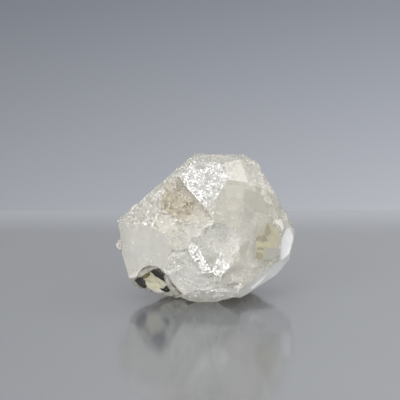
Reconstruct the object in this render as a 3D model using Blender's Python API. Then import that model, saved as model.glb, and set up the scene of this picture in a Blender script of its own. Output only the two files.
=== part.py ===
"""Topaz crystal: one clear natural crystal, flat faced at the top, broken and etched below."""

import math

import bmesh
import bpy
from mathutils import Matrix, Vector, noise

MM = 0.001
# The point in mm that every flat face is measured from, and the side of the raw block in mm.
HEART = Vector((0, 0, 11.0))
BLOCK = 60.0

# Each flat face: which way it looks (azimuth 0 is the front, 90 the right), how far it
# leans up from level, both in degrees, how far it lies from the heart in mm, and how
# strongly it is etched, from 0 for a polished face to 1.
FACES = {
    "top_cap": (0, 89, 12.8, 0.1),
    "front_pyramid": (-15, 41, 10.65, 0.35),
    "bright_pyramid": (42, 40, 12.0, 0),
    "pitted_pyramid": (62, 34, 11.95, 0.25),
    "broad_prism": (34, 14, 9.4, 0),
    "right_prism": (48, 8, 9.1, 0),
    "right_top": (95, 63, 14.45, 0.5),
    "right_slope": (98, 28, 13.35, 0.4),
    "right_side": (90, -11, 15.1, 0.2),
    "right_under": (88, -46, 14.4, 0.2),
    "right_base": (77, -67, 11.75, 0.4),
    "right_keel": (63, -73, 11.45, 0.3),
    "band_right": (75, -12, 13.7, 0.1),
    "band_low": (61, -33, 11.8, 0),
    "base": (0, -90, 11.0, 0),
    "left_side": (-90, -7, 14.35, 0.5),
    "left_lower": (-90, -17, 14.36, 0.5),
    "left_foot": (-88, -33, 14.7, 0.5),
    "left_base": (-80, -77, 11.2, 0.5),
    "left_slope": (-105, 48, 11.42, 0.6),
    "left_crest": (-82, 48, 11.25, 0.5),
    "left_shoulder": (-53, 29, 11.7, 0.9),
    "left_front": (-50, -3, 11.66, 0.1),
    "front": (3, 20, 10.5, 0.5),
    "front_lower": (-3, -24, 10.85, 0.9),
    "window": (-37, -37, 12.0, 0),
    "front_base": (0, -60, 11.3, 0.9),
    "back_left": (-140, 4, 11.5, 0.8),
    "back_right": (140, 6, 11.8, 0.3),
    "back": (178, -5, 11.5, 0.7),
    "back_slope_right": (135, 42, 13.7, 0.3),
    "back_slope": (175, 45, 12.0, 0.6),
    "back_lower_left": (-130, -40, 12.4, 0.9),
    "back_lower_right": (125, -38, 14.4, 0.8),
    "back_base": (180, -50, 11.8, 0.9),
}

# Each step takes away what lies beyond all of its planes, which are given as the faces are:
# the ledge has a wall and a floor, the V-shaped notch two walls, a floor, a foot and a roof.
STEPS = {
    "frosted_ledge": ((-71, -33, -0.8, 0.1), (-3, 48, 9.6, 0.5)),
    "vee": (
        (44, 8, 6.2, 0.3),
        (-29, 9, 6.4, 0.3),
        (13, -9, 9.3, 0),
        (104, 74, -4.9, 0.4),
        (20, -60, 3.2, 0.1),
    ),
}

# Each hollow is an ellipsoid taken out: its centre in mm, its radii across, in depth and
# upward in mm, the way it looks (azimuth and lean) with its roll in degrees, and its etching.
HOLLOWS = {
    "bowl": ((2.9, -11.6, 11.9), (6.6, 3.2, 4.4), (27, 10, 0), 0),
    "grey_hollow": ((5.0, -10.7, 5.7), (4.1, 2.3, 2.5), (32, -20, -25), 0),
    "lump_foot": ((-7.4, -10.0, 15.4), (5.0, 1.9, 2.4), (-20, 35, 15), 0.8),
    "band_scoop": ((11.1, -4.4, 1.8), (5.4, 3.5, 3.0), (61, -33, -20), 0),
    "band_side": ((15.3, -0.4, 9.8), (3.0, 2.6, 8.0), (62, -4, 8), 0),
    "window_scoop": ((-9.3, -7.6, 3.7), (5.0, 2.8, 4.4), (-40, -30, -28), 0),
    "base_notch": ((-6.5, -5.0, -1.0), (4.0, 8.0, 2.6), (0, 0, 0), 0.6),
    "crest_chip": ((-8.9, -3.2, 20.2), (1.6, 1.0, 1.2), (-70, 40, 10), 0.5),
    "shoulder_chip": ((-12.2, -5.4, 14.3), (1.5, 1.0, 1.1), (-50, 20, 15), 0.4),
    "foot_chip": ((-4.9, -10.2, 4.1), (1.5, 1.2, 1.0), (-30, -30, 0), 0.4),
    "edge_chip": ((13.2, 0.6, 14.2), (1.4, 0.9, 1.9), (70, 20, -25), 0.2),
    "back_bowl": ((-3.0, 14.6, 12.5), (6.5, 4.4, 5.0), (178, -5, 15), 0.1),
    "back_scar": ((7.5, 11.0, 4.8), (5.0, 3.0, 3.2), (120, -38, 30), 0.2),
    "left_scar": ((-15.8, 4.0, 8.0), (4.6, 2.6, 3.4), (-95, -10, 20), 0.3),
}

# Small growths joined onto the block: centre and radii in mm.
GROWTHS = {
    "left_nub": ((-14.3, 0.6, 8.7), (1.1, 1.5, 1.1)),
    "lump_crest": ((-5.7, -4.4, 19.7), (1.7, 1.3, 1.7)),
    "lump_left": ((-6.0, -6.2, 17.6), (1.8, 1.3, 2.2)),
    "lump_right": ((-4.1, -7.3, 16.8), (2.4, 1.2, 1.8)),
    "lump_low": ((-4.2, -9.0, 14.6), (1.9, 1.1, 1.1)),
}

# The etching sinks the surface by swells, pits and small terraces, up to about ETCH_DEPTH mm
# where it is strongest. It fades out over ETCH_FADE mm beside a polished face.
ETCH_DEPTH = 0.6
ETCH_FADE = 0.9
SWELLS_PER_MM = 0.45
SWELL_SHARE = 0.5
PITS_PER_MM = 1.1
PIT_SHARE = 0.9
PIT_OFFSET = Vector((7, 3, 5))
TERRACE_FACING = (25, 50)
TERRACES_PER_MM = 1.3
TERRACE_BEND = 2
TERRACE_SHARE = 0.25

# The growths are rougher than any face, out to LUMP_REACH times their radii.
LUMP_ETCH = 1.3
LUMP_REACH = 1.25

# A step's wall counts as near a point that lies within this many mm of being inside the step.
STEP_MARGIN = 0.3

# The etching moves the corners of an even grid: its spacing in mm, how many lines it has on
# each side of the heart, its offset in spacings, and how close in mm a line runs to a corner
# before it uses that corner.
GRID = 1.15
GRID_REACH = 14
GRID_SHIFT = (0.31, 0.47, 0.19)
GRID_SNAP = 0.12

WELD = 0.01
FLAT_ANGLE = 1
GROWTH_DETAIL = 2
HOLLOW_DETAIL = 3
CUT_TOLERANCE = 1e-7

COLOUR = (0.86, 0.85, 0.80, 1.0)
ROUGHNESS = 0.18
REFRACTION = 1.62


def direction(azimuth, lean):
    """The unit vector that looks along an azimuth and a lean, in degrees."""
    a = math.radians(azimuth)
    e = math.radians(lean)
    return Vector((math.sin(a) * math.cos(e), -math.cos(a) * math.cos(e), math.sin(e)))


def turned(azimuth, lean, roll):
    """The rotation that takes the front direction to an azimuth and a lean, after a roll."""
    return (
        Matrix.Rotation(math.radians(azimuth), 3, "Z")
        @ Matrix.Rotation(math.radians(-lean), 3, "X")
        @ Matrix.Rotation(math.radians(roll), 3, "Y")
    )


def cut_plane(bm, normal, distance):
    """Cuts away what lies beyond a plane and closes the cut."""
    cut = bmesh.ops.bisect_plane(
        bm,
        geom=bm.verts[:] + bm.edges[:] + bm.faces[:],
        dist=CUT_TOLERANCE,
        plane_co=(HEART + normal * distance) * MM,
        plane_no=normal,
        clear_outer=True,
    )
    rim = [g for g in cut["geom_cut"] if isinstance(g, bmesh.types.BMEdge)]
    if rim:
        bmesh.ops.contextual_create(bm, geom=rim)


def cut_flat_faces(bm):
    """Cuts the block down to the crystal's flat faces, one plane after another."""
    for azimuth, lean, distance, _ in FACES.values():
        cut_plane(bm, direction(azimuth, lean), distance)


def add_object(name, bm):
    bmesh.ops.recalc_face_normals(bm, faces=bm.faces)
    mesh = bpy.data.meshes.new(name)
    bm.to_mesh(mesh)
    bm.free()
    made = bpy.data.objects.new(name, mesh)
    bpy.context.scene.collection.objects.link(made)
    return made


def ball(name, centre, radii, turn, detail):
    """An ellipsoid with the given radii, turned and then moved to its centre."""
    bm = bmesh.new()
    bmesh.ops.create_icosphere(bm, subdivisions=detail, radius=1.0)
    for vert in bm.verts:
        stretched = Vector(c * r for c, r in zip(vert.co, radii))
        vert.co = (turn @ stretched + Vector(centre)) * MM
    return add_object(name, bm)


def beyond(name, planes):
    """The space beyond all of the given planes, as a solid."""
    bm = bmesh.new()
    bmesh.ops.create_cube(bm, size=BLOCK * MM)
    bmesh.ops.translate(bm, verts=bm.verts, vec=HEART * MM)
    for azimuth, lean, distance, _ in planes:
        cut_plane(bm, -direction(azimuth, lean), -distance)
    return add_object(name, bm)


def carve(block):
    """Takes out the steps, joins the growths and takes out the hollows, then bakes the result."""
    tools = []
    for name, planes in STEPS.items():
        tools.append((beyond(name, planes), "DIFFERENCE"))
    for name, (centre, radii) in GROWTHS.items():
        tools.append((ball(name, centre, radii, Matrix.Identity(3), GROWTH_DETAIL), "UNION"))
    for name, (centre, radii, facing, _) in HOLLOWS.items():
        scoop = ball(name, centre, radii, turned(*facing), HOLLOW_DETAIL)
        tools.append((scoop, "DIFFERENCE"))
    for tool, operation in tools:
        step = block.modifiers.new(tool.name, "BOOLEAN")
        step.operation = operation
        step.solver = "EXACT"
        step.object = tool
    bpy.context.view_layer.update()
    graph = bpy.context.evaluated_depsgraph_get()
    carved = bpy.data.meshes.new_from_object(block.evaluated_get(graph))
    block.modifiers.clear()
    block.data = carved
    for tool, _ in tools:
        bpy.data.objects.remove(tool)


def past(point, azimuth, lean, distance):
    """How far a point in mm lies past a plane, less than 0 on the heart's side."""
    return direction(azimuth, lean).dot(point - HEART) - distance


def reach(point, centre, radii, turn):
    """How far out a point in mm lies from an ellipsoid's centre: 1 on its surface."""
    local = turn.transposed() @ (point - Vector(centre))
    return Vector(c / r for c, r in zip(local, radii)).length


def near_surfaces(point):
    """The distance in mm from a point to each surface it could lie on, with that surface's etching."""
    found = []
    for azimuth, lean, distance, etched in FACES.values():
        found.append((abs(past(point, azimuth, lean, distance)), etched))
    for planes in STEPS.values():
        gaps = [past(point, *plane[:3]) for plane in planes]
        if min(gaps) > -STEP_MARGIN:
            found += [(abs(gap), plane[3]) for gap, plane in zip(gaps, planes)]
    for centre, radii, facing, etched in HOLLOWS.values():
        out = reach(point, centre, radii, turned(*facing))
        found.append((abs(out - 1) * min(radii), etched))
    return found


def etching(point):
    """How strongly the surface is etched at a point in mm: none on polished faces and at their rims."""
    found = near_surfaces(point)
    level = min(found)[1]
    for centre, radii in GROWTHS.values():
        if reach(point, centre, radii, Matrix.Identity(3)) < LUMP_REACH:
            level = max(level, LUMP_ETCH)
    to_polished = min(gap for gap, etched in found if etched == 0)
    return level * min(1.0, to_polished / ETCH_FADE)


def slice_up(bm):
    """Cuts every large face along an even grid, so that the etching has points to move."""
    for axis in range(3):
        normal = Vector(1.0 if k == axis else 0.0 for k in range(3))
        for k in range(-GRID_REACH, GRID_REACH + 1):
            bmesh.ops.bisect_plane(
                bm,
                geom=bm.verts[:] + bm.edges[:] + bm.faces[:],
                dist=GRID_SNAP * MM,
                plane_co=(HEART + normal * (k + GRID_SHIFT[axis]) * GRID) * MM,
                plane_no=normal,
            )
    bmesh.ops.triangulate(bm, faces=bm.faces)


def etch_depth(point):
    """The depth in mm that full etching would sink the surface by at a point in mm."""
    swell = 0.5 + 0.5 * noise.noise(point * SWELLS_PER_MM)
    pit = abs(noise.noise(point * PITS_PER_MM + PIT_OFFSET))
    height = point.dot(direction(*TERRACE_FACING)) * TERRACES_PER_MM
    terrace = math.floor(height + swell * TERRACE_BEND) % 2
    return ETCH_DEPTH * (SWELL_SHARE * swell + PIT_SHARE * pit + TERRACE_SHARE * terrace)


def etch(bm):
    """Sinks the surface by its etching, always inward."""
    bm.normal_update()
    moves = []
    for vert in bm.verts:
        point = vert.co / MM
        moves.append(vert.normal * (-etch_depth(point) * etching(point) * MM))
    for vert, move in zip(bm.verts, moves):
        vert.co += move


def centre(bm):
    """Puts the middle of the footprint's bounds over the origin, with the base on the ground."""
    lows = [min(vert.co[k] for vert in bm.verts) for k in range(3)]
    highs = [max(vert.co[k] for vert in bm.verts) for k in range(3)]
    shift = Vector((-(lows[0] + highs[0]) / 2, -(lows[1] + highs[1]) / 2, -lows[2]))
    bmesh.ops.translate(bm, verts=bm.verts, vec=shift)


def rough_glass(name):
    material = bpy.data.materials.new(name)
    material.use_nodes = True
    shader = material.node_tree.nodes["Principled BSDF"]
    shader.inputs["Base Color"].default_value = COLOUR
    shader.inputs["Roughness"].default_value = ROUGHNESS
    shader.inputs["Metallic"].default_value = 0.0
    shader.inputs["IOR"].default_value = REFRACTION
    shader.inputs["Transmission Weight"].default_value = 1.0
    material.diffuse_color = COLOUR
    return material


def main():
    for old in list(bpy.data.objects):
        bpy.data.objects.remove(old)
    bm = bmesh.new()
    bmesh.ops.create_cube(bm, size=BLOCK * MM)
    bmesh.ops.translate(bm, verts=bm.verts, vec=HEART * MM)
    cut_flat_faces(bm)
    crystal = add_object("topaz_crystal", bm)
    carve(crystal)
    bm = bmesh.new()
    bm.from_mesh(crystal.data)
    bmesh.ops.remove_doubles(bm, verts=bm.verts, dist=WELD * MM)
    flat = math.radians(FLAT_ANGLE)
    bmesh.ops.dissolve_limit(bm, angle_limit=flat, verts=bm.verts, edges=bm.edges)
    slice_up(bm)
    etch(bm)
    centre(bm)
    bmesh.ops.recalc_face_normals(bm, faces=bm.faces)
    bm.to_mesh(crystal.data)
    bm.free()
    crystal.data.materials.clear()
    crystal.data.materials.append(rough_glass("topaz"))


main()
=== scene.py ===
import math

import bmesh
import bpy
import numpy as np
from mathutils import Matrix, Vector, noise
from mathutils.bvhtree import BVHTree


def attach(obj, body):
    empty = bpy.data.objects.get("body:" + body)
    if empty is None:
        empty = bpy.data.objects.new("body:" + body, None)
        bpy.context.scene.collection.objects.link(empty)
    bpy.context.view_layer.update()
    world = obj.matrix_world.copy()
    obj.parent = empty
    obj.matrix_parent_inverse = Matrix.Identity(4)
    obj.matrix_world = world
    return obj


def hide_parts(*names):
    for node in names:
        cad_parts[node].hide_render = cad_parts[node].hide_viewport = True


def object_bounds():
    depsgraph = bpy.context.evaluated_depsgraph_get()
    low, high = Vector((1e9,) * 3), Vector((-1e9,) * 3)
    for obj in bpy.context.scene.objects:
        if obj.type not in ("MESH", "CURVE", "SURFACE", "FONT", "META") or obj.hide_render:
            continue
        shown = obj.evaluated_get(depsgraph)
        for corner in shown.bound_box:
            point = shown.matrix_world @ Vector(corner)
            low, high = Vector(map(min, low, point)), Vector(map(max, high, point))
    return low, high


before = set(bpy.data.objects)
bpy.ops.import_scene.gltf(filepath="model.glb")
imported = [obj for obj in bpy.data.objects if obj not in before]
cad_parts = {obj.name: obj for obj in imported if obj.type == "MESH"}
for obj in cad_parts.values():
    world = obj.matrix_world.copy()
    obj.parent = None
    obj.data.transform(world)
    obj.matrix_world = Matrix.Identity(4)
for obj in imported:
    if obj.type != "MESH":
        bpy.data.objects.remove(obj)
LOADED_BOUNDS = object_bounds()

MM = 0.001
SEED = 7
FAR_AWAY = 1e9

# Places in the frame in mm: the origin of the growths and hollows below, and the crystal's
# heart, from which the distances of its flat faces are measured.
ORIGIN = np.array([-0.038, -0.193, 0.0])
HEART = ORIGIN + np.array([0, 0, 11.0])

# Each flat face: azimuth (0 front, 90 right) and lean up in degrees, distance from the
# heart in mm, frosting of the surface, and depth of its fine relief in mm.
FACES = {
    "top_cap": (0, 89, 12.8, 0.45, 0.02),
    "front_pyramid": (-15, 41, 10.65, 0.95, 0.10),
    "bright_pyramid": (42, 40, 12.0, 0.30, 0.0),
    "pitted_pyramid": (62, 34, 11.95, 0.55, 0.05),
    "broad_prism": (34, 14, 9.4, 0.28, 0.0),
    "right_prism": (48, 8, 9.1, 0.22, 0.0),
    "right_top": (95, 63, 14.45, 0.6, 0.05),
    "right_slope": (98, 28, 13.35, 0.6, 0.05),
    "right_side": (90, -11, 15.1, 0.4, 0.03),
    "right_under": (88, -46, 14.4, 0.3, 0.02),
    "right_base": (77, -67, 11.75, 0.4, 0.05),
    "right_keel": (63, -73, 11.45, 0.4, 0.04),
    "band_right": (75, -12, 13.7, 0.3, 0.01),
    "band_low": (61, -33, 11.8, 0.12, 0.0),
    "base": (0, -90, 11.0, 0.5, 0.0),
    "left_side": (-90, -7, 14.35, 0.5, 0.05),
    "left_lower": (-90, -17, 14.36, 0.5, 0.05),
    "left_foot": (-88, -33, 14.7, 0.5, 0.05),
    "left_base": (-80, -77, 11.2, 0.5, 0.05),
    "left_slope": (-105, 48, 11.42, 0.6, 0.06),
    "left_crest": (-82, 48, 11.25, 0.6, 0.06),
    "left_shoulder": (-53, 29, 11.7, 0.6, 0.10),
    "left_front": (-50, -3, 11.66, 0.35, 0.02),
    "front": (3, 20, 10.5, 0.5, 0.05),
    "front_lower": (-3, -24, 10.85, 0.6, 0.09),
    "window": (-37, -37, 12.0, 0.02, 0.0),
    "front_base": (0, -60, 11.3, 0.7, 0.08),
    "back_left": (-140, 4, 11.5, 0.7, 0.08),
    "back_right": (140, 6, 11.8, 0.4, 0.04),
    "back": (178, -5, 11.5, 0.6, 0.06),
    "back_slope_right": (135, 42, 13.7, 0.4, 0.04),
    "back_slope": (175, 45, 12.0, 0.6, 0.06),
    "back_lower_left": (-130, -40, 12.4, 0.7, 0.08),
    "back_lower_right": (125, -38, 14.4, 0.7, 0.08),
    "back_base": (180, -50, 11.8, 0.7, 0.08),
}

# Each step takes away what lies beyond all of its planes. A plane has the same five numbers.
STEPS = {
    "frosted_ledge": ((-71, -33, -0.8, 0.6, 0.02), (-3, 48, 9.6, 0.5, 0.08)),
    "vee": (
        (44, 8, 6.2, 0.95, 0.07),
        (-29, 9, 6.4, 0.95, 0.07),
        (13, -9, 9.3, 0.12, 0.0),
        (104, 74, -4.9, 0.8, 0.06),
        (20, -60, 3.2, 0.3, 0.0),
    ),
}

# Each growth: centre and radii in mm, frosting, and relief in mm.
GROWTHS = {
    "left_nub": ((-14.3, 0.6, 8.7), (1.1, 1.5, 1.1), 0.8, 0.05),
    "lump_crest": ((-5.7, -4.4, 19.7), (1.7, 1.3, 1.7), 0.8, 0.09),
    "lump_left": ((-6.0, -6.2, 17.6), (1.8, 1.3, 2.2), 0.8, 0.10),
    "lump_right": ((-4.1, -7.3, 16.8), (2.4, 1.2, 1.8), 0.8, 0.10),
    "lump_low": ((-4.2, -9.0, 14.6), (1.9, 1.1, 1.1), 0.7, 0.07),
}

# Each hollow: centre and radii in mm, facing (azimuth, lean, roll), frosting, relief in mm.
HOLLOWS = {
    "bowl": ((2.9, -11.6, 11.9), (6.6, 3.2, 4.4), (27, 10, 0), 0.12, 0.0),
    "grey_hollow": ((5.0, -10.7, 5.7), (4.1, 2.3, 2.5), (32, -20, -25), 0.15, 0.0),
    "lump_foot": ((-7.4, -10.0, 15.4), (5.0, 1.9, 2.4), (-20, 35, 15), 0.6, 0.08),
    "band_scoop": ((11.1, -4.4, 1.8), (5.4, 3.5, 3.0), (61, -33, -20), 0.1, 0.0),
    "band_side": ((15.3, -0.4, 9.8), (3.0, 2.6, 8.0), (62, -4, 8), 0.1, 0.0),
    "window_scoop": ((-9.3, -7.6, 3.7), (5.0, 2.8, 4.4), (-40, -30, -28), 0.02, 0.0),
    "base_notch": ((-6.5, -5.0, -1.0), (4.0, 8.0, 2.6), (0, 0, 0), 0.5, 0.05),
    "crest_chip": ((-8.9, -3.2, 20.2), (1.6, 1.0, 1.2), (-70, 40, 10), 0.5, 0.02),
    "shoulder_chip": ((-12.2, -5.4, 14.3), (1.5, 1.0, 1.1), (-50, 20, 15), 0.4, 0.02),
    "foot_chip": ((-4.9, -10.2, 4.1), (1.5, 1.2, 1.0), (-30, -30, 0), 0.4, 0.02),
    "edge_chip": ((13.2, 0.6, 14.2), (1.4, 0.9, 1.9), (70, 20, -25), 0.2, 0.01),
    "back_bowl": ((-3.0, 14.6, 12.5), (6.5, 4.4, 5.0), (178, -5, 15), 0.2, 0.01),
    "back_scar": ((7.5, 11.0, 4.8), (5.0, 3.0, 3.2), (120, -38, 30), 0.3, 0.02),
    "left_scar": ((-15.8, 4.0, 8.0), (4.6, 2.6, 3.4), (-95, -10, 20), 0.3, 0.02),
}
# The crystal's mesh: cuts per edge, welding distance in metres, and the distance in mm from a
# polished surface within which the relief fades out.
SUBDIVISIONS = 3
WELDING_DISTANCE = 1e-6
POLISHED_REACH = 0.6

# The relief against a surface's own depth: the mean and swing of its broad part, waves per mm
# of the broad and the fine part, and the swing of the fine part.
RELIEF_MEAN = 0.5
BROAD_WAVES = 1.9
FINE_WAVES = 3.7
FINE_SHARE = 0.8
FINE_SHIFT = Vector((3, 1, 9))

# The crystal's looks: darkest tint, lightest tint, grain of the mottling per metre,
# transmission, specular level and the surfaces that have it. The first is the slightly milky
# look of all other surfaces.
LOOKS = {
    "topaz_milky": ((0.93, 0.91, 0.85), (0.995, 0.98, 0.93), 1100, 0.86, 0.5, ()),
    "topaz_clear": (
        (0.97, 0.955, 0.91), (0.99, 0.98, 0.94), 1100, 1.0, 0.0, ("window", "window_scoop"),
    ),
    "topaz_beige": (
        (0.36, 0.31, 0.23), (0.62, 0.56, 0.45), 1100, 0.55, 0.3,
        ("lump_crest", "lump_left", "lump_right", "lump_low", "frosted_ledge_1"),
    ),
    "topaz_foot": ((0.62, 0.59, 0.52), (0.80, 0.78, 0.72), 1400, 0.62, 0.4, ("lump_foot",)),
    "topaz_satin": ((0.72, 0.70, 0.62), (0.82, 0.80, 0.73), 700, 0.72, 0.4, ("broad_prism",)),
    "topaz_white": (
        (0.90, 0.89, 0.84), (0.99, 0.985, 0.955), 1800, 0.7, 0.4,
        (
            "front_lower", "front_base", "left_front", "left_side", "left_lower", "left_foot",
            "left_base", "right_keel", "right_base",
        ),
    ),
    "topaz_frosted": (
        (0.50, 0.495, 0.49), (0.96, 0.96, 0.95), 1300, 0.72, 0.5,
        ("front_pyramid", "vee_0", "vee_1"),
    ),
    "topaz_pale": (
        (0.93, 0.93, 0.92), (0.98, 0.975, 0.96), 700, 0.6, 0.25,
        ("band_side", "band_low", "band_scoop"),
    ),
}
# Around this point in mm the beige tint fades to the pale one, from the first radius to the
# second. The mottling shifts both radii by up to half of the unevenness.
BEIGE_HEART = (-4.7, -7.6, 17.8)
BEIGE_FADE = (1.6, 4.2)
BEIGE_UNEVENNESS = 2.0
BEIGE_OUTSIDE = (0.56, 0.54, 0.48, 1)

# The clear substance: index of refraction, and colour and density of its absorption.
TOPAZ_IOR = 1.62
ABSORPTION_COLOUR = (0.82, 0.77, 0.58, 1)
ABSORPTION_DENSITY = 18.0

# The mottling of the tint, and the range of the noise that goes from dark to light.
MOTTLE_DETAIL = 8.0
MOTTLE_HARSHNESS = 0.68
MOTTLE_RANGE = (0.38, 0.6)

# Frosting sets the roughness, with a fine variation, and the strength of a fine bump, whose
# height is in metres.
ROUGHNESS_RANGE = (0.02, 0.52)
SHINE_GRAIN = 900.0
SHINE_VARIATION = 0.9
ETCHING_GRAIN = 2200.0
ETCHING_DETAIL = 6.0
ETCHING_HARSHNESS = 0.7
ETCHING_HEIGHT = 0.00025
ETCHING_STRENGTH = 0.9

# Opaque minerals, and the colours painted in as highlights, light and shade: darkest and lightest
# tone. Where they differ from the usual, also the grain per metre, roughness and specular level.
OPAQUE_GRAIN = 400.0
OPAQUE_ROUGHNESS = 0.7
OPAQUE_MIRROR = 0.5
OPAQUE_RANGE = (0.35, 0.65)
MINERALS_AND_PAINTED_LIGHT = {
    "veil_white": ((0.80, 0.79, 0.75), (0.92, 0.91, 0.88)),
    "glint_white": ((0.90, 0.90, 0.88), (0.95, 0.95, 0.94), OPAQUE_GRAIN, 0.15),
    "veil_cool": ((0.84, 0.84, 0.85), (0.92, 0.92, 0.94)),
    "stain_beige": ((0.40, 0.35, 0.26), (0.62, 0.56, 0.46)),
    "stain_olive": ((0.40, 0.36, 0.13), (0.62, 0.57, 0.28)),
    "dark_specks": ((0.16, 0.14, 0.09), (0.34, 0.31, 0.22)),
    "dark_mineral": (
        (0.004, 0.003, 0.0004), (0.026, 0.018, 0.003), 900.0, OPAQUE_ROUGHNESS, 0.05,
    ),
    # olive of the real stains; the shade patch also uses it as painted shade
    "olive_stain_and_shade": ((0.17, 0.14, 0.02), (0.30, 0.25, 0.06)),
    "skin_wash": ((0.38, 0.34, 0.14), (0.56, 0.51, 0.30)),
    "skin_straw": ((0.84, 0.81, 0.62), (0.97, 0.95, 0.82)),
    "skin_grey": ((0.34, 0.34, 0.28), (0.40, 0.40, 0.34)),
    # painted light: the even pale tone of the right side band
    "painted_cool_light": ((0.45, 0.45, 0.46), (0.52, 0.52, 0.54)),
    # painted shade: the colour of the facet shade film
    "skin_shade": ((0.42, 0.405, 0.34), (0.48, 0.465, 0.40)),
    # painted highlight: the white of the glint films
    "skin_glint": ((0.90, 0.89, 0.85), (0.96, 0.95, 0.92)),
    "skin_bar": ((0.50, 0.46, 0.22), (0.62, 0.58, 0.32)),
    # painted shade: the grey of the grey band film
    "painted_grey_shade": ((0.28, 0.27, 0.255), (0.38, 0.37, 0.35)),
    "skin_blush": ((0.38, 0.33, 0.26), (0.46, 0.41, 0.34)),
    # painted light: a pale colour that brightens the window and a streak by the right band
    "painted_pale_light": ((0.93, 0.925, 0.87), (0.98, 0.975, 0.93)),
    # painted light: the bright white of the window's rim and the low right band
    "painted_blue_white_light": ((0.92, 0.92, 0.91), (0.97, 0.97, 0.97)),
}

# A flake is stretched one way by the first range, and each corner's reach varies by the second.
FLAKE_STRETCH = (0.6, 1.6)
FLAKE_STRAY = (0.6, 1.2)

# Healed cracks inside: centre in mm, facing (azimuth, lean, roll), half width and height in mm,
# bend in mm, flakes, flake size in mm.
VEILS = [
    ((-2.0, -3.0, 17.0), (-15, 41, 0), (6.0, 4.0), 0.8, 1200, 0.19),
    ((-8.0, -3.5, 11.0), (-50, 10, 20), (5.0, 6.0), -1.0, 700, 0.16),
    ((0.0, -3.0, 10.0), (10, -20, 35), (7.0, 6.0), 1.2, 900, 0.16),
    ((6.0, -1.0, 13.0), (50, 10, -30), (6.0, 7.0), -1.0, 1500, 0.18),
    ((3.0, 3.0, 8.0), (-20, 60, 10), (9.0, 6.0), 1.5, 1300, 0.20),
    ((-5.0, 2.0, 7.0), (30, 50, 60), (7.0, 5.0), -1.2, 800, 0.18),
    ((9.0, 1.0, 7.0), (70, -35, 0), (5.0, 5.0), 0.8, 900, 0.17),
    ((0.0, -6.0, 5.0), (0, -50, 0), (6.0, 3.5), 0.5, 1100, 0.16),
    ((4.0, -5.0, 10.0), (30, 5, 10), (6.0, 5.0), 0.9, 1500, 0.17),
    ((-9.0, -2.0, 8.0), (-60, -10, 0), (5.0, 6.0), 0.7, 1200, 0.17),
    ((0.0, 4.0, 14.0), (0, 10, 30), (9.0, 7.0), -1.5, 1800, 0.22),
]
VEIL_WAVES = 2.2
VEIL_GAPS_BELOW = -0.12
VEIL_SWELL = 1.2
VEIL_TILT = 0.35
VEIL_SIZES = (0.4, 1.6)
VEIL_DEPTH = 0.3
VEIL_THICKNESS = 0.12

# Grains at the surface: surfaces, grains per mm2, grain size in mm, how far in mm the outermost
# stand out (below zero they stay under the surface), and how much deeper the innermost lie.
WHITE_SKINS = [
    (("front_pyramid",), 20, 0.10, 0.05, 0.25),
    (("vee_0", "vee_1"), 110, 0.10, 0.03, 0.3),
    (("pitted_pyramid",), 9, 0.10, 0.02, 0.6),
    (("bright_pyramid",), 6, 0.12, -0.2, 0.9),
    (("front_lower",), 10, 0.10, 0.03, 0.9),
    (("front_base",), 70, 0.10, 0.03, 0.6),
    (("front", "frosted_ledge_1", "lump_foot"), 5, 0.10, 0.02, 0.9),
    (("left_shoulder", "left_crest", "left_slope", "left_nub", "frosted_ledge_0"), 8, 0.11, 0.03, 0.7),
    (("left_front", "left_side"), 5, 0.11, -0.3, 1.6),
    (("right_side", "right_under", "right_base"), 10, 0.11, -0.2, 1.2),
    (("broad_prism",), 3, 0.11, -0.3, 1.6),
    (("right_prism",), 8, 0.11, -0.3, 1.6),
    (("back", "back_slope", "back_left", "back_right", "back_slope_right"), 6, 0.13, 0.0, 0.8),
    (("back_lower_left", "back_lower_right", "back_base", "left_base"), 6, 0.13, 0.0, 0.8),
]
GLINT_SKINS = [
    (("front_pyramid", "vee_0", "vee_1"), 8, 0.10, 0.06, 0.1),
    (("pitted_pyramid", "front_lower", "left_shoulder", "left_crest"), 7, 0.08, 0.04, 0.1),
]
COOL_SKINS = [
    (("bowl", "vee_2"), 60, 0.12, -0.2, 0.8),
    (("band_low", "band_scoop", "band_side", "band_right"), 30, 0.12, -0.25, 0.9),
]
BEIGE_SKINS = [
    (("lump_crest", "lump_left", "lump_right", "lump_low"), 60, 0.09, 0.0, 0.5),
    (("frosted_ledge_1",), 30, 0.09, 0.0, 0.5),
    (("lump_foot",), 8, 0.10, 0.0, 0.7),
]
DARK_SKINS = [
    (("pitted_pyramid",), 4, 0.08, 0.02, 0.1),
    (("lump_crest", "lump_right", "lump_left", "lump_low", "frosted_ledge_1"), 3, 0.08, 0.02, 0.1),
    (("front_lower", "lump_foot", "left_shoulder"), 1.5, 0.07, 0.02, 0.1),
]
SKIN_WAVES = 0.8
SKIN_GAPS = (-0.5, 0.3)
SKIN_TILT = 0.5
SKIN_SIZES = (0.4, 1.5)
SKIN_PROUDEST = 0.07
SKIN_BOX_MARGIN = 0.2

# The pieces made of them: places, thickness of a grain against its size, and mineral.
SKIN_PIECES = {
    "white_skin": (WHITE_SKINS, 0.2, "veil_white"),
    "glinting_skin": (GLINT_SKINS, 0.1, "glint_white"),
    "cool_skin": (COOL_SKINS, 0.2, "veil_cool"),
    "beige_skin": (BEIGE_SKINS, 0.25, "stain_beige"),
    "dark_specks": (DARK_SKINS, 0.4, "dark_specks"),
}

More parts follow.
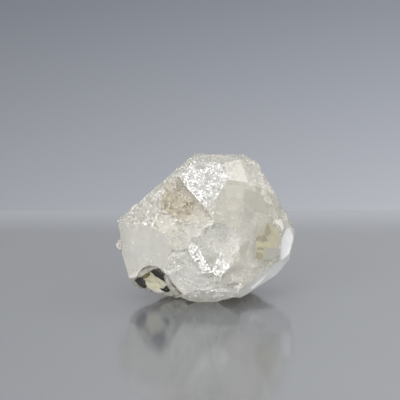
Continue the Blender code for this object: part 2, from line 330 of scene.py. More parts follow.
# Clouds of grains: centre mm, radii mm, grains, grain size mm.
WHITE_CLOUDS = [
    ((-1.0, -4.6, 19.2), (4.2, 2.6, 3.2), 1400, 0.13),
    ((0.0, -7.0, 6.0), (5.0, 3.0, 2.6), 700, 0.13),
    ((11.0, 0.5, 8.0), (3.6, 3.5, 6.0), 500, 0.12),
    ((-10.0, -3.0, 10.0), (3.6, 4.0, 5.0), 500, 0.12),
]
BEIGE_CLOUDS = [
    ((-5.6, -5.8, 18.0), (2.2, 1.6, 2.4), 500, 0.16),
    ((3.0, -7.2, 18.0), (2.2, 1.4, 1.6), 160, 0.13),
    ((-12.6, -2.0, 11.0), (1.2, 2.6, 2.4), 100, 0.14),
]
OLIVE_CLOUDS = [
    ((9.6, -2.6, 10.8), (2.6, 0.7, 4.6), 900, 0.08),
    ((8.9, -3.3, 8.6), (1.6, 0.6, 2.4), 400, 0.08),
]
CLOUD_SPREAD = 0.5
CLOUD_SIZES = (0.4, 1.7)
CLOUD_DEPTH = 0.2
CLOUD_THICKNESS = 0.25
CLOUD_PIECES = {
    "milky_grains": (WHITE_CLOUDS, "veil_white"),
    "beige_grains": (BEIGE_CLOUDS, "stain_beige"),
    "olive_grains": (OLIVE_CLOUDS, "stain_olive"),
}

# Thin skins just under the surface, some of mineral colours and some of painted highlights, light
# and shade: colour, depth in mm, and the outline as the camera sees it, in pixels of the photo.
FILMS = {
    "dark_patch_left": ("dark_mineral", 0.1, [
        (134.7, 279.7), (137, 277.6), (140.7, 276.6), (143.2, 278.2), (145.3, 281.1),
        (145.9, 284.5), (147.2, 285.7), (145.7, 287.6), (142.4, 286.7), (138.7, 284.5),
    ]),
    "dark_patch_right": ("dark_mineral", 0.1, [
        (150.5, 270.6), (154.4, 268.7), (158.2, 267.9), (161.5, 268.9), (164, 271.2),
        (165.2, 273.7), (164.2, 277), (165.4, 282), (163.2, 280.1), (159, 277.8),
        (155.7, 275.7), (152.8, 272.8),
    ]),
    "dark_patch_low": ("dark_mineral", 0.1, [
        (159.6, 287.8), (163.2, 288.6), (166.9, 285.3), (169, 288.2), (170.4, 289.4),
        (169, 291.7), (165.6, 291.3), (161.9, 290),
    ]),
    # painted highlight along the left crest
    "crest_glint": ("skin_glint", 0.08, [
        (125.6, 212.4), (129, 208.4), (133, 205.8), (137.4, 203.6), (136.2, 206.2), (131.8, 209.6),
        (128.4, 211.8), (126.4, 215),
    ]),
    # painted highlight on the left shoulder
    "shoulder_glint": ("skin_glint", 0.08, [
        (157.2, 213.8), (158.6, 215), (155.6, 220.4), (153.6, 225.4), (150.4, 231.4),
        (149.4, 230.4), (152.2, 223.6), (154.8, 218),
    ]),
    # painted highlight on the left slope
    "slope_glint": ("skin_glint", 0.08, [
        (141.6, 223), (144.4, 221.4), (147.8, 224.2), (147, 226.4), (144, 224.8),
    ]),
    # painted highlight along the lower left edge of the frosted face
    "edge_glint": ("skin_glint", 0.08, [
        (176, 174.6), (177.4, 174), (183, 181.4), (190, 189.6), (196.4, 196), (201.4, 200.8),
        (200.6, 202), (195.2, 197.4), (188.8, 191),
    ]),
    # painted shade: a smooth grey band under the surface
    "grey_band": ("painted_grey_shade", 0.12, [
        (199, 181), (204, 178.7), (210, 179.6), (216, 178), (221.5, 178.6), (222.5, 182.5),
        (217, 184), (212, 186.6), (206, 185.4), (201.5, 186.5),
    ]),
    "facet_line": ("skin_grey", 0.15, [
        (226.2, 163.4), (227.4, 163), (228.6, 166.4), (231, 169), (234.2, 169.2), (237.6, 167.2),
        (238, 167.9), (234.6, 170.2), (230.6, 170), (227.9, 167.2),
    ]),
    # painted shade: an olive-grey patch between the window's dark patches
    "shade_patch": ("olive_stain_and_shade", 0.2, [
        (141.6, 276.2), (146.6, 272.8), (150.3, 271.2), (150.6, 274), (148, 277), (144.5, 278),
    ]),
    # painted light: the bright inside seen through the window
    "pale_window": ("painted_pale_light", 0.5, [
        (125, 276), (136, 273.5), (143, 268), (151, 265), (158, 266), (165, 270.5), (171, 279),
        (176, 290), (172, 296), (160, 295), (146, 292), (136, 290), (128, 284),
    ]),
    # painted highlight: the bright rim along the window's lower edge
    "window_rim": ("painted_blue_white_light", 0.1, [
        (126, 279), (131, 281.5), (136, 285), (142, 288.2), (150, 289.8), (158, 291), (165, 293.4),
        (172, 293.6), (172, 297.5), (160, 297), (146, 295), (134, 291.5), (127, 285),
    ]),
    "straw_window": ("skin_straw", 0.35, [
        (135, 280), (142, 275), (150, 270.6), (156.5, 269), (161, 272.4), (164.4, 279),
        (168.6, 289), (160, 289), (147, 287.5), (139, 285.5),
    ]),
    "olive_finger": ("olive_stain_and_shade", 0.12, [
        (264.5, 233), (265.5, 228), (267.3, 223.5), (269, 227), (270, 232), (268.5, 235), (266, 236.5),
    ]),
    "olive_wedge": ("olive_stain_and_shade", 0.12, [
        (255.5, 240), (256.5, 237.5), (260, 235.5), (264, 234.8), (266, 238), (267.5, 241),
        (262, 241.5),
    ]),
    "olive_band": ("olive_stain_and_shade", 0.12, [
        (256, 248), (258, 247.2), (263, 248), (263.5, 250.3), (258, 250),
    ]),
    "olive_block": ("olive_stain_and_shade", 0.12, [
        (256, 251.5), (259, 252.5), (262.5, 254), (262.5, 258.5), (259, 259.5), (256, 258),
    ]),
    "straw_bar": ("skin_bar", 0.12, [
        (255.5, 242.3), (262, 242.9), (268, 242), (272, 243.5), (268, 246.5), (261, 245.9),
        (256, 246.8),
    ]),
    "olive_wash": ("skin_wash", 0.26, [
        (262, 231), (266, 224), (269, 222), (272, 226), (276, 228), (278.5, 234), (278.5, 242),
        (276, 247.5), (265, 248.3), (264.3, 259), (258, 260.5), (255, 258), (254.5, 249),
        (254.5, 240), (258, 235),
    ]),
    # painted shade that darkens a facet on the right
    "facet_shade": ("skin_shade", 0.3, [
        (224, 184.5), (236, 186), (250, 190), (260, 194.5), (264, 204), (267, 213), (260, 213),
        (251, 210), (244, 205), (241, 198), (233, 196), (226, 197),
    ]),
    "beige_spot": ("skin_blush", 0.5, [
        (223, 200), (227, 197), (233, 196), (239, 198.5), (240.5, 204), (238, 209), (231, 211.5),
        (225, 210), (222, 205),
    ]),
    "grey_patch": ("skin_grey", 0.3, [
        (265, 248.3), (274, 247.5), (277, 252), (275, 258.5), (270, 260.4), (264, 260), (264.6, 254),
    ]),
    # painted light: a pale streak above the right band
    "pale_streak": ("painted_pale_light", 0.2, [
        (272.5, 216.5), (275, 219.5), (280, 219), (283, 226), (282, 231), (279.5, 226), (275, 223),
    ]),
    # painted light: the pale right side band
    "pale_band_side": ("painted_cool_light", 0.3, [
        (281, 219), (286, 222), (292, 230), (297, 240), (296, 252), (290, 260), (279, 264),
        (277.5, 258), (279.5, 248), (280, 235),
    ]),
    # painted light: the bright band along the lower right edge
    "pale_band_low": ("painted_blue_white_light", 0.3, [
        (293, 258), (287, 268), (277, 278), (266, 287), (256, 294), (245, 296), (246, 287),
        (254, 279), (263, 272), (272, 266), (280, 262),
    ]),
}
# A film: mesh step in pixels, thickness and least depth in mm, length and stray in pixels of
# the short pieces of its ragged edge, and the least cosine of the viewing angle that stretches
# its depth along the view.
FILM_STEP = 1
FILM_THICKNESS = 0.12
FILM_MARGIN = 0.03
RAGGED_STEP = 0.8
RAGGED_STRAY = 0.3
FLATTEST_VIEW = 0.35

# The camera at the photo's angle: what it aims at, distance, clipping and point in metres, lens
# and sensor in mm, and the photo's side and the focal length in pixels.
CAMERA_AIM = np.array([-1.0, 0, 16.6]) * MM
CAMERA_ELEVATION = math.radians(12)
CAMERA_DISTANCE = 0.32
CAMERA_CLIP = (0.01, 10)
FOCAL_MM = 172.8
SENSOR_MM = 36.0
IMAGE_SIDE = 400
FOCAL_PX = FOCAL_MM / SENSOR_MM * IMAGE_SIDE
CAMERA_AHEAD = np.array([0, math.cos(CAMERA_ELEVATION), -math.sin(CAMERA_ELEVATION)])
CAMERA_RIGHT = np.array([1.0, 0, 0])
CAMERA_UP = np.cross(CAMERA_RIGHT, CAMERA_AHEAD)
CAMERA_POINT = CAMERA_AIM - CAMERA_AHEAD * CAMERA_DISTANCE

# The floor in metres, with the band in which its tone goes from the near to the far one.
FLOOR_REACH = 0.16
FLOOR_BACK = 0.068
FLOOR_TURN = (0.045, 0.070)
FLOOR_NEAR = (0.104, 0.110, 0.121, 1)
FLOOR_FAR = (0.190, 0.200, 0.220, 1)
FLOOR_GRAIN = 60.0
FLOOR_SPECKLE = 0.1
FLOOR_ROUGHNESS = 0.14
FLOOR_IOR = 2.5

# The studio's tones by height of the direction, and how they change sideways and forward:
# the direction's first and last value, and the strength there.
STUDIO_HEIGHTS = (-0.5, 1.0)
STUDIO_TONES = [
    (-0.5, (0.30, 0.31, 0.33)),
    (-0.215, (0.42, 0.435, 0.475)),
    (-0.105, (0.235, 0.25, 0.285)),
    (0.05, (0.30, 0.31, 0.33)),
    (0.35, (0.75, 0.76, 0.78)),
    (0.95, (1.10, 1.10, 1.08)),
]
STUDIO_SIDEWAYS = (-0.11, 0.11, 0.86, 1.14)
STUDIO_FORWARD = (0.2, -0.8, 1.0, 1.4)

# Soft lights: direction from the heart, distance, width and height in metres, watts, and
# colour where it isn't white. The fills don't show in reflections.
LIGHTS = {
    "key_right": ((0.708, 0.192, 0.68), 0.35, 0.15, 0.15, 0.18, (1, 0.99, 0.97)),
    "top": ((-0.2, -0.1, 1), 0.4, 0.3, 0.3, 0.36),
    "sparkle": ((-0.33, -0.26, 0.906), 0.4, 0.05, 0.05, 0.10),
    "front_left": ((-0.7, -0.9, 0.7), 0.45, 0.25, 0.25, 0.7, (1, 0.98, 0.95)),
    "back_left": ((-0.3, 1, 1.3), 0.45, 0.3, 0.3, 0.4),
}
FILLS = {
    "front_low": ((0.3, -1, 0.1), 0.45, 0.5, 0.16, 1.3),
    "left_low": ((-0.9, -0.75, 0.12), 0.4, 0.25, 0.16, 0.8),
    "right_low": ((0.9, -0.7, 0.05), 0.4, 0.3, 0.16, 0.9),
}


def direction(azimuth, lean):
    """The unit vector at an azimuth and a lean in degrees."""
    a = math.radians(azimuth)
    e = math.radians(lean)
    return np.array([math.sin(a) * math.cos(e), -math.cos(a) * math.cos(e), math.sin(e)])


def turned(azimuth, lean, roll):
    """The turn that brings the front to a facing in degrees."""
    turn = (
        Matrix.Rotation(math.radians(azimuth), 3, "Z")
        @ Matrix.Rotation(math.radians(-lean), 3, "X")
        @ Matrix.Rotation(math.radians(roll), 3, "Y")
    )
    return np.array(turn)


def surfaces(points):
    """Signed distance in mm to the solid, the name of the surface each point lies nearest,
    and each point's frosting, relief and distance from a polished surface."""
    count = len(points)
    value = np.full(count, -FAR_AWAY)
    name = np.full(count, "", dtype="U20")
    frost = np.zeros(count)
    relief = np.zeros(count)
    polished = np.full(count, FAR_AWAY)

    def take(where, gap, label, dull, rough):
        value[where] = gap[where]
        name[where] = label
        frost[where] = dull
        relief[where] = rough

    def note(gap, rough):
        if rough == 0:
            polished[:] = np.minimum(polished, np.abs(gap))

    for label, (azimuth, lean, distance, dull, rough) in FACES.items():
        gap = (points - HEART) @ direction(azimuth, lean) - distance
        take(gap > value, gap, label, dull, rough)
        note(gap, rough)
    for label, planes in STEPS.items():
        gaps = np.array([(points - HEART) @ direction(*q[:2]) - q[2] for q in planes])
        gap = gaps.min(axis=0)
        for k, plane in enumerate(planes):
            take((gap > value) & (gaps.argmin(axis=0) == k), gap, f"{label}_{k}", *plane[3:])
    for label, (centre, radii, dull, rough) in GROWTHS.items():
        local = (points - ORIGIN - np.array(centre)) / np.array(radii)
        gap = (np.linalg.norm(local, axis=1) - 1) * min(radii)
        take(gap < value, gap, label, dull, rough)
    for label, (centre, radii, facing, dull, rough) in HOLLOWS.items():
        local = (points - ORIGIN - np.array(centre)) @ turned(*facing) / np.array(radii)
        gap = (1 - np.linalg.norm(local, axis=1)) * min(radii)
        take(gap > value, gap, label, dull, rough)
        note(gap, rough)
    return value, name, frost, relief, polished


def skin_tree(mesh):
    """A tree for finding the mesh's nearest face and for casting rays at it."""
    return BVHTree.FromPolygons([v.co for v in mesh.vertices], [p.vertices for p in mesh.polygons])


def under(points, tree):
    """Depths in mm of points in mm under the nearest face of the crystal."""
    depths = []
    for point in points:
        spot, normal, _, _ = tree.find_nearest(Vector(point) * MM)
        depths.append((spot / MM - Vector(point)).dot(normal))
    return np.array(depths)


def inside(points, tree, margin):
    """Which points in mm lie more than a margin in mm under the crystal's surface. With a
    margin below zero they may stand out of it by as much."""
    return (under(points, tree) > margin) & (surfaces(points)[0] < -margin)


def in_box(points):
    """Which points in mm lie well inside the box of the CAD solid."""
    low, high = (np.array(corner) / MM for corner in LOADED_BOUNDS)
    return np.all((points > low + SKIN_BOX_MARGIN) & (points < high - SKIN_BOX_MARGIN), axis=1)


def new_object(name, data):
    made = bpy.data.objects.new(name, data)
    bpy.context.scene.collection.objects.link(made)
    return made


def mesh_object(name, verts, faces, material):
    """A piece of the crystal, with its mesh in metres."""
    mesh = bpy.data.meshes.new(name)
    mesh.from_pydata([tuple(v) for v in verts], [], [tuple(f) for f in faces])
    mesh.update()
    mesh.materials.append(material)
    made = new_object(name, mesh)
    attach(made, "root")
    return made


def new_material(name):
    material = bpy.data.materials.new(name)
    material.use_nodes = True
    tree = material.node_tree
    return material, tree, tree.nodes["Principled BSDF"]


def node(tree, kind, **settings):
    made = tree.nodes.new(kind)
    for key, value in settings.items():
        setattr(made, key, value)
    return made


def noise_node(tree, scale, detail=4.0, harshness=0.6):
    """Noise in the object's own space, with a scale per metre."""
    place = node(tree, "ShaderNodeTexCoord")
    made = node(tree, "ShaderNodeTexNoise")
    made.inputs["Scale"].default_value = scale
    made.inputs["Detail"].default_value = detail
    made.inputs["Roughness"].default_value = harshness
    tree.links.new(place.outputs["Object"], made.inputs["Vector"])
    return made.outputs["Fac"]


def multiply_add(tree, source, factor, addend):
    """A value times a factor, plus a number or another value."""
    made = node(tree, "ShaderNodeMath", operation="MULTIPLY_ADD")
    made.inputs[1].default_value = factor
    tree.links.new(source, made.inputs[0])
    if isinstance(addend, float):
        made.inputs[2].default_value = addend
    else:
        tree.links.new(addend, made.inputs[2])
    return made.outputs[0]


def map_range(tree, source, start, end, first=0.0, last=1.0, kind="LINEAR"):
    made = node(tree, "ShaderNodeMapRange", interpolation_type=kind)
    made.inputs["From Min"].default_value = start
    made.inputs["From Max"].default_value = end
    made.inputs["To Min"].default_value = first
    made.inputs["To Max"].default_value = last
    tree.links.new(source, made.inputs["Value"])
    return made.outputs["Result"]


def two_tones(tree, source, places, low, high):
    """A colour that goes from a low to a high tone between two values of its source."""
    ramp = node(tree, "ShaderNodeValToRGB")
    for element, place, tone in zip(ramp.color_ramp.elements, places, (low, high)):
        element.position = place
        element.color = (*tone[:3], 1)
    tree.links.new(source, ramp.inputs["Fac"])
    return ramp.outputs["Color"]


def beige_fading(tree, mottle, colour):
    """The colour at the heart of the beige body, fading to a paler one with distance from it."""
    place = node(tree, "ShaderNodeTexCoord")
    gap = node(tree, "ShaderNodeVectorMath", operation="DISTANCE")
    gap.inputs[1].default_value = [number * MM for number in BEIGE_HEART]
    tree.links.new(place.outputs["Object"], gap.inputs[0])
    uneven = multiply_add(tree, mottle, BEIGE_UNEVENNESS * MM, gap.outputs["Value"])
    start, end = ((radius + BEIGE_UNEVENNESS / 2) * MM for radius in BEIGE_FADE)
    far = map_range(tree, uneven, start, end, kind="SMOOTHSTEP")
    mix = node(tree, "ShaderNodeMix", data_type="RGBA")
    mix.inputs[7].default_value = BEIGE_OUTSIDE
    tree.links.new(far, mix.inputs[0])
    tree.links.new(colour, mix.inputs[6])
    return mix.outputs[2]


def topaz_material(name, low, high, grain, clearness, mirror):
    """Clear crystal: plain transmission and absorption, frosted where the surface is etched."""
    material, tree, shader = new_material(name)
    mottle = noise_node(tree, grain, MOTTLE_DETAIL, MOTTLE_HARSHNESS)
    tint = two_tones(tree, mottle, MOTTLE_RANGE, low, high)
    if name == "topaz_beige":
        tint = beige_fading(tree, mottle, tint)
    tree.links.new(tint, shader.inputs["Base Color"])
    shader.inputs["Specular IOR Level"].default_value = mirror
    shader.inputs["IOR"].default_value = TOPAZ_IOR
    shader.inputs["Transmission Weight"].default_value = clearness
    frost = node(tree, "ShaderNodeAttribute", attribute_name="frost").outputs["Fac"]
    fine = noise_node(tree, SHINE_GRAIN)
    varied = node(tree, "ShaderNodeMath", operation="ADD")
    tree.links.new(frost, varied.inputs[0])
    tree.links.new(
        multiply_add(tree, fine, SHINE_VARIATION, -SHINE_VARIATION / 2), varied.inputs[1]
    )
    roughness = map_range(tree, varied.outputs[0], 0.0, 1.0, *ROUGHNESS_RANGE)
    tree.links.new(roughness, shader.inputs["Roughness"])
    bump = node(tree, "ShaderNodeBump")
    bump.inputs["Distance"].default_value = ETCHING_HEIGHT
    strength = node(tree, "ShaderNodeMath", operation="MULTIPLY")
    strength.inputs[1].default_value = ETCHING_STRENGTH
    tree.links.new(frost, strength.inputs[0])
    tree.links.new(strength.outputs[0], bump.inputs["Strength"])
    etching = noise_node(tree, ETCHING_GRAIN, ETCHING_DETAIL, ETCHING_HARSHNESS)
    tree.links.new(etching, bump.inputs["Height"])
    tree.links.new(bump.outputs["Normal"], shader.inputs["Normal"])
    absorb = node(tree, "ShaderNodeVolumeAbsorption")
    absorb.inputs["Color"].default_value = ABSORPTION_COLOUR
    absorb.inputs["Density"].default_value = ABSORPTION_DENSITY
    tree.links.new(absorb.outputs[0], tree.nodes["Material Output"].inputs["Volume"])
    return material


def mineral_and_painted_light_material(
    name, low, high, grain=OPAQUE_GRAIN, roughness=OPAQUE_ROUGHNESS, mirror=OPAQUE_MIRROR
):
    """A matt colour that varies between two tones, used for minerals and for painted light and shade.
    """
    material, tree, shader = new_material(name)
    colour = two_tones(tree, noise_node(tree, grain), OPAQUE_RANGE, low, high)
    tree.links.new(colour, shader.inputs["Base Color"])
    shader.inputs["Roughness"].default_value = roughness
    shader.inputs["Specular IOR Level"].default_value = mirror
    return material


def etch(bm, points, relief):
    """Presses a fine relief into the surface, at most as deep as each point allows."""
    for k, vert in enumerate(bm.verts):
        if relief[k] <= 0:
            continue
        p = Vector(points[k])
        depth = RELIEF_MEAN + RELIEF_MEAN * noise.noise(p * BROAD_WAVES)
        depth += FINE_SHARE * abs(noise.noise(p * FINE_WAVES + FINE_SHIFT))
        vert.co -= vert.normal * (relief[k] * depth * MM)
        vert.co = np.clip(vert.co, *LOADED_BOUNDS)


def crystal_mesh():
    """The CAD solid, welded and finely divided, with fine relief on its etched faces."""
    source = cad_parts["topaz_crystal"]
    bm = bmesh.new()
    bm.from_mesh(source.data)
    bm.transform(source.matrix_world)
    bmesh.ops.remove_doubles(bm, verts=bm.verts, dist=WELDING_DISTANCE)
    bmesh.ops.recalc_face_normals(bm, faces=bm.faces)
    bmesh.ops.subdivide_edges(bm, edges=bm.edges, cuts=SUBDIVISIONS, use_grid_fill=True)
    bmesh.ops.triangulate(bm, faces=bm.faces)
    bm.normal_update()
    points = np.array([vert.co for vert in bm.verts]) / MM
    _, _, frost, relief, polished = surfaces(points)
    etch(bm, points, relief * np.clip(polished / POLISHED_REACH, 0, 1))
    mesh = bpy.data.meshes.new("crystal")
    bm.to_mesh(mesh)
    bm.free()
    attribute = mesh.attributes.new("frost", "FLOAT", "POINT")
    attribute.data.foreach_set("value", frost.astype(np.float32))
    middles = np.array([face.center for face in mesh.polygons]) / MM
    label = surfaces(middles)[1]
    look = np.zeros(len(label), dtype=np.int32)
    for k, (*_, labels) in enumerate(LOOKS.values()):
        look[np.isin(label, labels)] = k
    mesh.polygons.foreach_set("material_index", look)
    return mesh


def flakes(centres, normals, sizes, thickness, rng):
    """One flat eight-sided flake at each centre, lying square to its normal."""
    verts = []
    faces = []
    for c, n, s in zip(centres, normals, sizes):
        n = n / np.linalg.norm(n)
        side = np.cross(n, rng.normal(size=3))
        side /= np.linalg.norm(side)
        other = np.cross(n, side)
        stretch = rng.uniform(*FLAKE_STRETCH)
        base = len(verts)
        for v in (side * s * stretch, other * s, -side * s * stretch, -other * s):
            verts.append((c + v * rng.uniform(*FLAKE_STRAY)) * MM)
        verts.append((c + n * s * thickness) * MM)
        verts.append((c - n * s * thickness) * MM)
        for k in range(4):
            a = base + k
            b = base + (k + 1) % 4
            faces.append((a, b, base + 4))
            faces.append((b, a, base + 5))
    return verts, faces


def veils(tree, rng):
    """Centres, normals and sizes of the flakes of the healed cracks."""
    centres = []
    normals = []
    sizes = []
    for middle, facing, half, bend, count, size in VEILS:
        turn = turned(*facing)
        u = rng.uniform(-1, 1, count * 2)
        w = rng.uniform(-1, 1, count * 2)
        patch = np.array([
            noise.noise(Vector((a * VEIL_WAVES, b * VEIL_WAVES, middle[0]))) for a, b in zip(u, w)
        ])
        keep = (u * u + w * w < 1) & (patch > VEIL_GAPS_BELOW)
        u, w, patch = u[keep][:count], w[keep][:count], patch[keep][:count]
        sag = bend * (u * u - 0.5 * w * w) + VEIL_SWELL * patch
        local = np.stack([u * half[0], sag, w * half[1]], axis=1)
        centres.append(local @ turn.T + np.array(middle))
        tilt = rng.normal(scale=VEIL_TILT, size=(len(u), 3))
        normals.append(np.array([0, -1.0, 0]) @ turn.T + tilt)
        sizes.append(size * rng.uniform(*VEIL_SIZES, len(u)))
    centres, normals, sizes = (np.concatenate(part) for part in (centres, normals, sizes))
    keep = inside(centres, tree, VEIL_DEPTH)
    return centres[keep], normals[keep], sizes[keep]


def skin_grains(skins, mesh, tree, rng):
    """Centres, normals and sizes of grains spread over chosen surfaces of the crystal."""
    corners = np.array([[mesh.vertices[v].co for v in p.vertices] for p in mesh.polygons]) / MM
    edge_a = corners[:, 1] - corners[:, 0]
    edge_b = corners[:, 2] - corners[:, 0]
    cross = np.cross(edge_a, edge_b)
    area = np.linalg.norm(cross, axis=1) / 2
    name = surfaces(corners.mean(axis=1))[1]
    centres = []
    normals = []
    sizes = []
    for names, density, size, proud, depth in skins:
        chosen = np.flatnonzero(np.isin(name, names))
        count = int(density * area[chosen].sum())
        pick = rng.choice(chosen, count, p=area[chosen] / area[chosen].sum())
        u = rng.uniform(0, 1, count)
        w = rng.uniform(0, 1, count)
        over = u + w > 1
        u[over], w[over] = 1 - u[over], 1 - w[over]
        outward = cross[pick] / (2 * area[pick, None])
        spot = corners[pick, 0] + edge_a[pick] * u[:, None] + edge_b[pick] * w[:, None]
        spot = spot + outward * (proud - depth * rng.uniform(0, 1, count) ** 2)[:, None]
        patch = np.array([noise.noise(Vector(q * SKIN_WAVES)) for q in spot])
        keep = patch > rng.uniform(*SKIN_GAPS, count)
        keep = keep & inside(spot, tree, -SKIN_PROUDEST) & in_box(spot)
        centres.append(spot[keep])
        normals.append(outward[keep] + rng.normal(scale=SKIN_TILT, size=(keep.sum(), 3)))
        sizes.append(size * rng.uniform(*SKIN_SIZES, keep.sum()))
    return np.concatenate(centres), np.concatenate(normals), np.concatenate(sizes)


def cloud_grains(clouds, tree, rng):
    """Centres, normals and sizes of grains that float in clouds inside the crystal."""
    centres = []
    sizes = []
    for middle, radii, count, size in clouds:
        spot = rng.normal(scale=CLOUD_SPREAD, size=(count, 3)) * np.array(radii)
        centres.append(spot + np.array(middle))
        sizes.append(size * rng.uniform(*CLOUD_SIZES, count))
    centres, sizes = np.concatenate(centres), np.concatenate(sizes)
    keep = inside(centres, tree, CLOUD_DEPTH)
    centres, sizes = centres[keep], sizes[keep]
    return centres, rng.normal(size=centres.shape), sizes


def seen(pixels, tree, depth):
    """Points in mm that the camera sees at the pixels a depth in mm under the surface, and
    which of them lie inside the crystal."""
    across, down = (np.array(pixels) - IMAGE_SIDE / 2).T / FOCAL_PX
    rays = CAMERA_AHEAD + across[:, None] * CAMERA_RIGHT - down[:, None] * CAMERA_UP
    points = np.zeros((len(rays), 3))
    hit = np.zeros(len(rays), dtype=bool)
    for k, ray in enumerate(rays):
        ray = Vector(ray).normalized()
        spot, normal, _, _ = tree.ray_cast(Vector(CAMERA_POINT), ray)
        if spot is not None:
            points[k] = np.array(spot / MM + ray * depth / max(FLATTEST_VIEW, -ray.dot(normal)))
            hit[k] = True
    return points, hit & (under(points, tree) > FILM_MARGIN)


def ragged(outline, rng):
    """A closed outline in pixels, cut into short lengths that stray to either side."""
    edge = []
    for start, end in zip(outline, outline[1:] + outline[:1]):
        start, end = np.array(start), np.array(end)
        parts = max(1, round(float(np.linalg.norm(end - start)) / RAGGED_STEP))
        edge += [start + (end - start) * k / parts for k in range(parts)]
    return np.array(edge) + rng.uniform(-RAGGED_STRAY, RAGGED_STRAY, (len(edge), 2))


def pixel_sheet(outline):
    """A flat sheet in pixels within an outline, cut into small triangles."""
    sheet = bmesh.new()
    sheet.faces.new([sheet.verts.new((px, py, 0)) for px, py in outline])
    for axis in range(2):
        side = [point[axis] for point in outline]
        facing = Vector(1.0 if k == axis else 0.0 for k in range(3))
        for line in range(int(min(side)) + 1, int(max(side)) + 1, FILM_STEP):
            bmesh.ops.bisect_plane(
                sheet,
                geom=sheet.verts[:] + sheet.edges[:] + sheet.faces[:],
                plane_co=facing * line,
                plane_no=facing,
            )
    bmesh.ops.triangulate(sheet, faces=sheet.faces)
    return sheet


def film(name, depth, outline, material, tree, rng):
    """A thin skin that follows the surface above it, cut from a sheet along its outline."""
    sheet = pixel_sheet(ragged(outline, rng))
    pixels = [(vert.co.x, vert.co.y) for vert in sheet.verts]
    near, near_stays = seen(pixels, tree, depth)
    far, far_stays = seen(pixels, tree, depth + FILM_THICKNESS)
    stays = near_stays & far_stays
    outside = [vert for vert, kept in zip(sheet.verts, stays) if not kept]
    bmesh.ops.delete(sheet, geom=outside, context="VERTS")
    sheet.verts.index_update()
    count = len(sheet.verts)
    verts = list(near[stays] * MM) + list(far[stays] * MM)
    tops = [[vert.index for vert in face.verts] for face in sheet.faces]
    faces = tops + [[k + count for k in reversed(top)] for top in tops]
    for edge in sheet.edges:
        if edge.is_boundary:
            a, b = (vert.index for vert in edge.verts)
            faces += [(a, b, b + count), (a, b + count, a + count)]
    sheet.free()
    made = mesh_object(name, verts, faces, material)
    bm = bmesh.new()
    bm.from_mesh(made.data)
    bmesh.ops.recalc_face_normals(bm, faces=bm.faces)
    bm.to_mesh(made.data)
    bm.free()


def build_crystal():
    crystal = new_object("crystal", crystal_mesh())
    for name, (*look, _) in LOOKS.items():
        crystal.data.materials.append(topaz_material(name, *look))
    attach(crystal, "root")
    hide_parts("topaz_crystal")
    return crystal.data


def build_inclusions(mesh):
    """What lies in the crystal: cracks, grains and films, all from one run of random draws. Some of
    the films are painted highlights, light and shade.
    """
    rng = np.random.default_rng(SEED)
    tree = skin_tree(mesh)
    minerals_and_painted_light = {name: mineral_and_painted_light_material(name, *tones) for name, tones in MINERALS_AND_PAINTED_LIGHT.items()}
    shape = flakes(*veils(tree, rng), VEIL_THICKNESS, rng)
    mesh_object("healed_cracks", *shape, minerals_and_painted_light["veil_white"])
    for name, (skins, thickness, colour_name) in SKIN_PIECES.items():
        shape = flakes(*skin_grains(skins, mesh, tree, rng), thickness, rng)
        mesh_object(name, *shape, minerals_and_painted_light[colour_name])
    for name, (clouds, colour_name) in CLOUD_PIECES.items():
        shape = flakes(*cloud_grains(clouds, tree, rng), CLOUD_THICKNESS, rng)
        mesh_object(name, *shape, minerals_and_painted_light[colour_name])
    for name, (colour_name, depth, outline) in FILMS.items():
        film(name, depth, outline, minerals_and_painted_light[colour_name], tree, rng)


def build_floor():
    verts = [
        (-FLOOR_REACH, -FLOOR_REACH, 0),
        (FLOOR_REACH, -FLOOR_REACH, 0),
        (FLOOR_REACH, FLOOR_BACK, 0),
        (-FLOOR_REACH, FLOOR_BACK, 0),
    ]
    mesh = bpy.data.meshes.new("floor")
    mesh.from_pydata(verts, [], [(0, 1, 2, 3)])
    floor = new_object("floor", mesh)
    material, tree, shader = new_material("floor_grey")
    place = node(tree, "ShaderNodeTexCoord")
    split = node(tree, "ShaderNodeSeparateXYZ")
    tree.links.new(place.outputs["Object"], split.inputs[0])
    far = map_range(tree, split.outputs["Y"], *FLOOR_TURN, kind="SMOOTHSTEP")
    tone = multiply_add(tree, noise_node(tree, FLOOR_GRAIN), FLOOR_SPECKLE, far)
    colour = two_tones(tree, tone, (0.0, 1.0), FLOOR_NEAR, FLOOR_FAR)
    tree.links.new(colour, shader.inputs["Base Color"])
    shader.inputs["Roughness"].default_value = FLOOR_ROUGHNESS
    shader.inputs["IOR"].default_value = FLOOR_IOR
    mesh.materials.append(material)


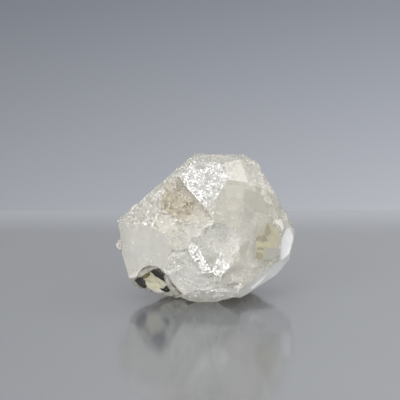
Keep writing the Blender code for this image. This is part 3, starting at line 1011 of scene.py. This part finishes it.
def build_studio():
    """Soft surroundings, with tones by height that change sideways and forward."""
    world = bpy.data.worlds.new("studio")
    world.use_nodes = True
    bpy.context.scene.world = world
    tree = world.node_tree
    background = tree.nodes["Background"]
    place = node(tree, "ShaderNodeTexCoord")
    split = node(tree, "ShaderNodeSeparateXYZ")
    tree.links.new(place.outputs["Generated"], split.inputs[0])
    lowest, highest = STUDIO_HEIGHTS
    ramp = node(tree, "ShaderNodeValToRGB")
    while len(ramp.color_ramp.elements) < len(STUDIO_TONES):
        ramp.color_ramp.elements.new(0.5)
    for element, (height, tone) in zip(ramp.color_ramp.elements, STUDIO_TONES):
        element.position = (height - lowest) / (highest - lowest)
        element.color = (*tone, 1)
    tree.links.new(map_range(tree, split.outputs["Z"], lowest, highest), ramp.inputs["Fac"])
    strength = node(tree, "ShaderNodeMath", operation="MULTIPLY")
    tree.links.new(map_range(tree, split.outputs["X"], *STUDIO_SIDEWAYS), strength.inputs[0])
    tree.links.new(map_range(tree, split.outputs["Y"], *STUDIO_FORWARD), strength.inputs[1])
    tree.links.new(ramp.outputs["Color"], background.inputs["Color"])
    tree.links.new(strength.outputs[0], background.inputs["Strength"])


def soft_light(name, towards, distance, width, height, power, colour=(1, 1, 1)):
    """An area light that looks back at the crystal's heart."""
    light = bpy.data.lights.new(name, "AREA")
    light.shape = "RECTANGLE"
    light.size = width
    light.size_y = height
    light.energy = power
    light.color = colour
    made = new_object(name, light)
    away = Vector(towards).normalized()
    made.location = away * distance + Vector(HEART * MM)
    made.rotation_euler = away.to_track_quat("Z", "Y").to_euler()
    return made


def build_lights():
    for name, light in LIGHTS.items():
        soft_light(name, *light)
    for name, light in FILLS.items():
        soft_light(name, *light).visible_glossy = False


def build_camera():
    camera = bpy.data.cameras.new("camera")
    camera.lens = FOCAL_MM
    camera.sensor_width = SENSOR_MM
    camera.clip_start, camera.clip_end = CAMERA_CLIP
    made = new_object("camera", camera)
    made.location = Vector(CAMERA_POINT)
    made.rotation_euler = (-Vector(CAMERA_AHEAD)).to_track_quat("Z", "Y").to_euler()
    bpy.context.scene.camera = made


build_inclusions(build_crystal())
build_floor()
build_studio()
build_lights()
build_camera()
bpy.context.scene.view_settings.view_transform = "Standard"
